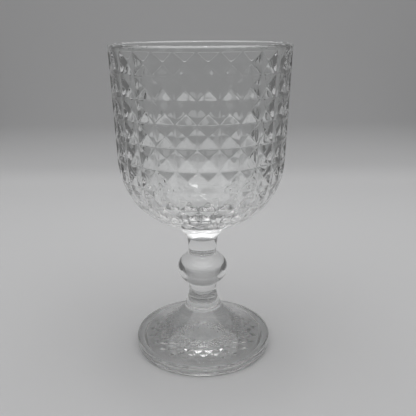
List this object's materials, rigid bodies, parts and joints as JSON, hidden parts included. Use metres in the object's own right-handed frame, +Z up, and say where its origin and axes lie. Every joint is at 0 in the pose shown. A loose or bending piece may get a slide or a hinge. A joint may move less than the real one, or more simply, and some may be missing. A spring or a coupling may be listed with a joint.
{
  "type": "stemmed glass",
  "caption": "Clear pressed-glass goblet with a round foot, a stem with a ball knop and a deep bowl covered outside with diamond hollows, for serving drinks.",
  "frame": {"origin": "on the table under the middle of the foot", "axes": "+Z up along the stem's axis towards the mouth; -Y is the side that faces the camera"},
  "size_m": [0.088, 0.088, 0.16],
  "materials": {
    "foot_glass": "clear, fire polished",
    "stem_glass": "clear, fire polished",
    "bowl_glass": "clear, fire polished"
  },
  "bodies": {
    "root": {"foot": "foot_glass", "stem": "stem_glass", "bowl": "bowl_glass"}
  },
  "joints": []
}
